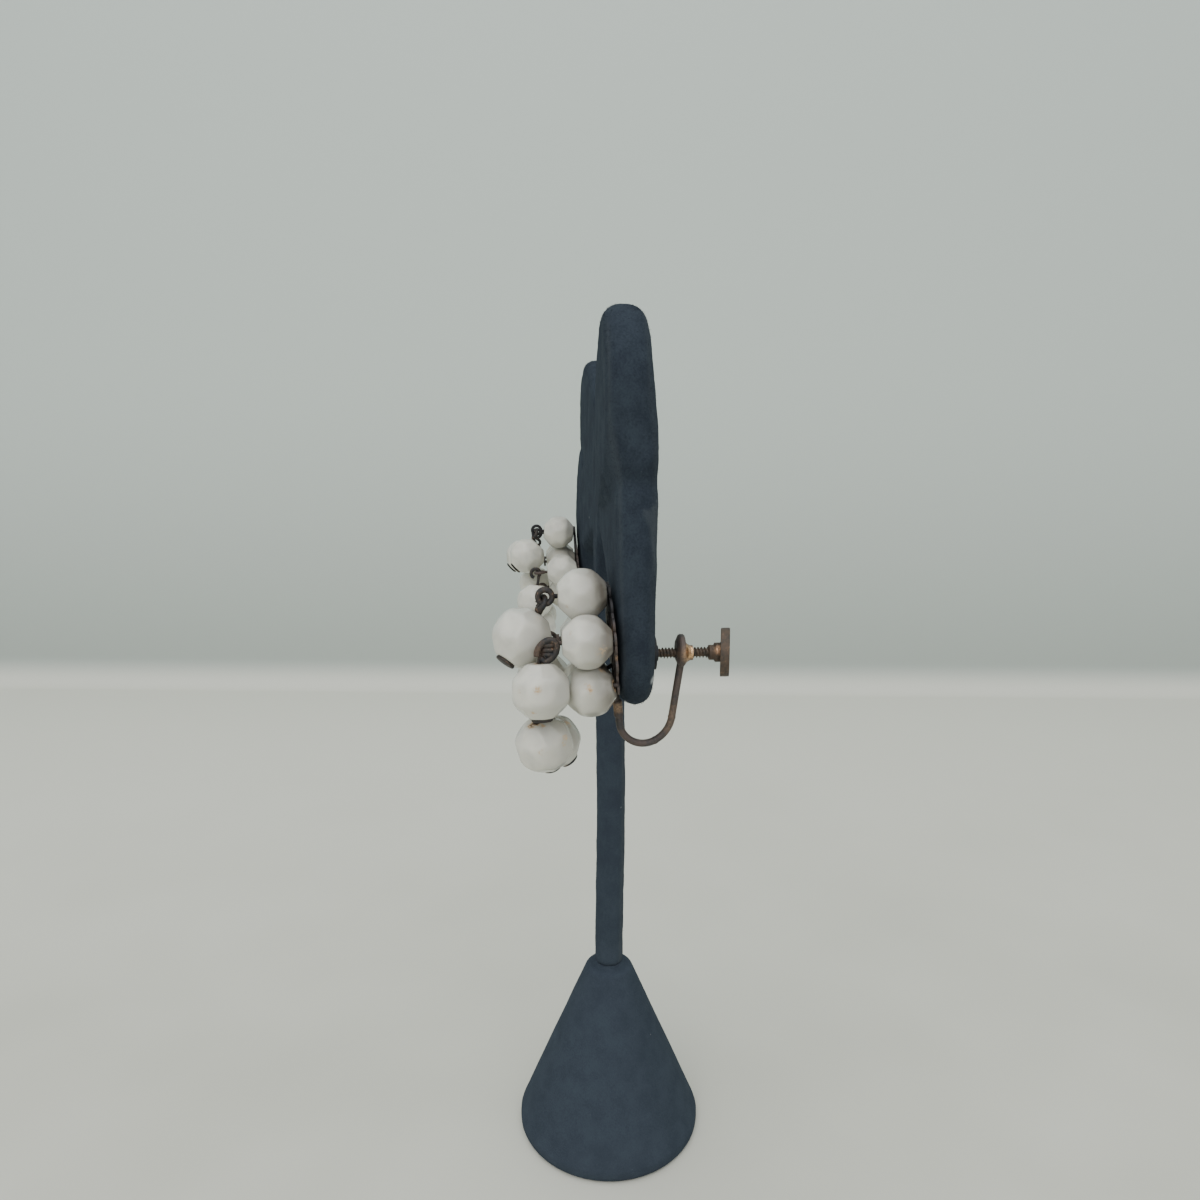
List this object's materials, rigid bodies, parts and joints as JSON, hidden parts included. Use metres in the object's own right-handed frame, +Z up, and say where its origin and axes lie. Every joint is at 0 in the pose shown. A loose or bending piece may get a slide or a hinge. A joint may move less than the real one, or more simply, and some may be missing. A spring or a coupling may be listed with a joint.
{
  "type": "screw back earrings on a display stand",
  "caption": "Pair of faceted glass bead cluster earrings with screw backs, clamped on the lobes of a small velvet covered display stand.",
  "frame": {"origin": "centre of the stand's underside, on the surface that it stands on", "axes": "+Z up, the stand's face and the bead clusters look along -Y, the right hand earring at +X"},
  "size_m": [0.0985, 0.0357, 0.1427],
  "materials": {
    "velvet": "dark slate blue velvet with a short pile and some lint",
    "milk_glass": "off-white faceted milk glass with rust stains round the holes",
    "antique_brass": "dark tarnished brass with gold worn spots",
    "worn_copper": "coppery brass, rubbed and dented, grey where it is dull"
  },
  "bodies": {
    "stand": {"stand_foot": "velvet", "stand_head": "velvet", "right_ear_wire": "antique_brass", "right_bead_middle": "milk_glass", "left_ear_wire": "antique_brass", "left_bead_middle": "milk_glass", "right_bead_1": "milk_glass", "right_bead_2": "milk_glass", "right_bead_3": "milk_glass", "right_bead_4": "milk_glass", "right_bead_5": "milk_glass", "right_bead_6": "milk_glass", "left_bead_1": "milk_glass", "left_bead_2": "milk_glass", "left_bead_3": "milk_glass", "left_bead_4": "milk_glass", "left_bead_5": "milk_glass", "left_bead_6": "milk_glass", "right_drop_bead_1": "milk_glass", "right_drop_bead_2": "milk_glass", "right_drop_bead_3": "milk_glass", "right_drop_bead_4": "milk_glass", "right_drop_bead_5": "milk_glass", "right_drop_bead_6": "milk_glass", "left_drop_bead_1": "milk_glass", "left_drop_bead_2": "milk_glass", "left_drop_bead_3": "milk_glass", "left_drop_bead_4": "milk_glass", "left_drop_bead_5": "milk_glass", "left_drop_bead_6": "milk_glass", "right_drop_pin_1": "antique_brass", "right_drop_pin_2": "antique_brass", "right_drop_pin_3": "antique_brass", "right_drop_pin_4": "antique_brass", "right_drop_pin_5": "antique_brass", "right_drop_pin_6": "antique_brass", "left_drop_pin_1": "antique_brass", "left_drop_pin_2": "antique_brass", "left_drop_pin_3": "antique_brass", "left_drop_pin_4": "antique_brass", "left_drop_pin_5": "antique_brass", "left_drop_pin_6": "antique_brass"},
    "right_pad": {"right_pad": "worn_copper"},
    "right_screw": {"right_screw": "worn_copper"},
    "left_pad": {"left_pad": "worn_copper"},
    "left_screw": {"left_screw": "worn_copper"}
  },
  "joints": [
    {"name": "right_pad_slide", "type": "slide", "parent": "stand", "child": "right_pad", "axis": [0, 1, 0], "range_m": [0, 0.0021]},
    {"name": "right_screw_turn", "type": "hinge", "parent": "right_pad", "child": "right_screw", "pos_m": [0.038, 0.006, 0.0992], "axis": [0, 1, 0], "range_deg": [0, 1800]},
    {"name": "left_pad_slide", "type": "slide", "parent": "stand", "child": "left_pad", "axis": [0, 1, 0], "range_m": [0, 0.0021]},
    {"name": "left_screw_turn", "type": "hinge", "parent": "left_pad", "child": "left_screw", "pos_m": [-0.038, 0.00475, 0.0992], "axis": [0, 1, 0], "range_deg": [0, 1800]}
  ],
  "couplings": [
    {"joint": "right_screw_turn", "follows": "right_pad_slide", "rad_per_m": 14960},
    {"joint": "left_screw_turn", "follows": "left_pad_slide", "rad_per_m": 14960}
  ]
}
